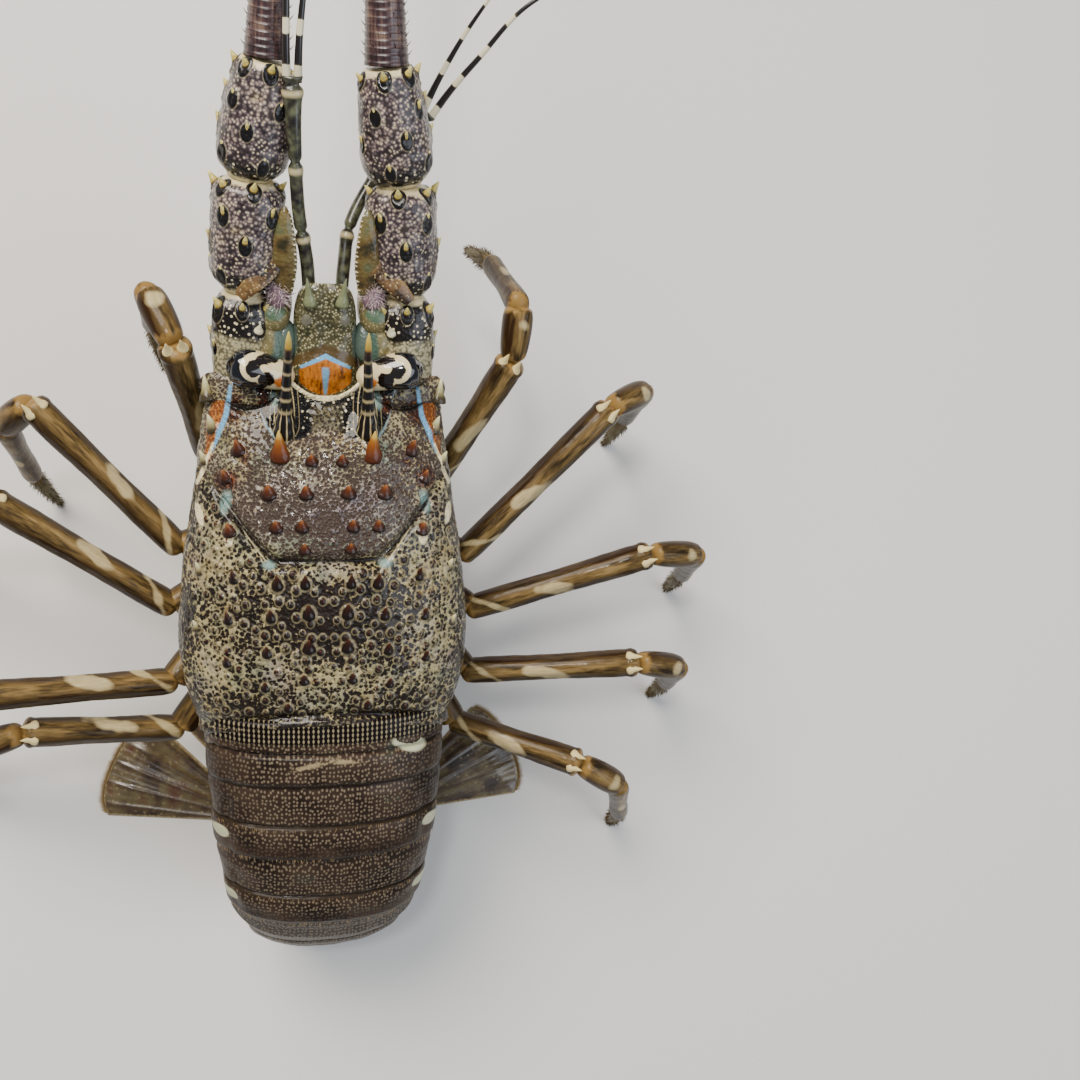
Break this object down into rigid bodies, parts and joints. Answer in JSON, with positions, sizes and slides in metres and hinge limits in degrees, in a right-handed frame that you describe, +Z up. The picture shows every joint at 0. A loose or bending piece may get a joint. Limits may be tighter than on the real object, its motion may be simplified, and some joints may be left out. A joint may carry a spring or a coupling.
{
  "type": "spiny lobster",
  "caption": "Life-size still model of a scalloped spiny lobster: spiny mottled shell, banded horns, stout spiny antennae, bronze legs and a tail curled under onto its fan.",
  "frame": {"origin": "middle of the telson's flat face, on the floor", "axes": "+Y forward, towards the antennae; +Z up; +X to the animal's right"},
  "size_m": [0.226, 0.4918, 0.1932],
  "materials": {
    "shell": "wet grainy mottled shell",
    "tail_shell": "wet dotted shell",
    "leg_shell": "glossy bronze, striped",
    "antenna_shell": "wet spiny shell",
    "flagellum": "bristly, dark purple brown",
    "horn": "banded black and cream",
    "eye": "glossy black",
    "plate": "wet olive",
    "underside": "pale cream",
    "banded": "black and white bands"
  },
  "bodies": {
    "root": {"carapace": "shell", "sternum": "underside", "epistome": "underside", "antennular_plate": "plate", "horn_left": "horn", "eye_left": "eye", "maxilliped_left": "leg_shell", "antenna_base_left": "antenna_shell", "antenna_second_left": "antenna_shell", "antenna_third_left": "antenna_shell", "flagellum_near_left": "flagellum", "flagellum_far_left": "flagellum", "antennule_stem_left": "banded", "antennule_outer_left": "banded", "antennule_inner_left": "banded", "uropod_outer_left": "tail_shell", "uropod_inner_left": "tail_shell", "leg_1_upper_left": "leg_shell", "leg_1_lower_left": "leg_shell", "leg_2_upper_left": "leg_shell", "leg_2_lower_left": "leg_shell", "leg_3_upper_left": "leg_shell", "leg_3_lower_left": "leg_shell", "leg_4_upper_left": "leg_shell", "leg_4_lower_left": "leg_shell", "leg_5_upper_left": "leg_shell", "leg_5_lower_left": "leg_shell", "horn_right": "horn", "eye_right": "eye", "maxilliped_right": "leg_shell", "antenna_base_right": "antenna_shell", "antenna_second_right": "antenna_shell", "antenna_third_right": "antenna_shell", "flagellum_near_right": "flagellum", "flagellum_far_right": "flagellum", "antennule_stem_right": "banded", "antennule_outer_right": "banded", "antennule_inner_right": "banded", "uropod_outer_right": "tail_shell", "uropod_inner_right": "tail_shell", "leg_1_upper_right": "leg_shell", "leg_1_lower_right": "leg_shell", "leg_2_upper_right": "leg_shell", "leg_2_lower_right": "leg_shell", "leg_3_upper_right": "leg_shell", "leg_3_lower_right": "leg_shell", "leg_4_upper_right": "leg_shell", "leg_4_lower_right": "leg_shell", "leg_5_upper_right": "leg_shell", "leg_5_lower_right": "leg_shell", "abdomen_1": "tail_shell", "abdomen_2": "tail_shell", "abdomen_3": "tail_shell", "abdomen_4": "tail_shell", "abdomen_5": "tail_shell", "abdomen_6": "tail_shell", "telson": "tail_shell"}
  },
  "joints": []
}
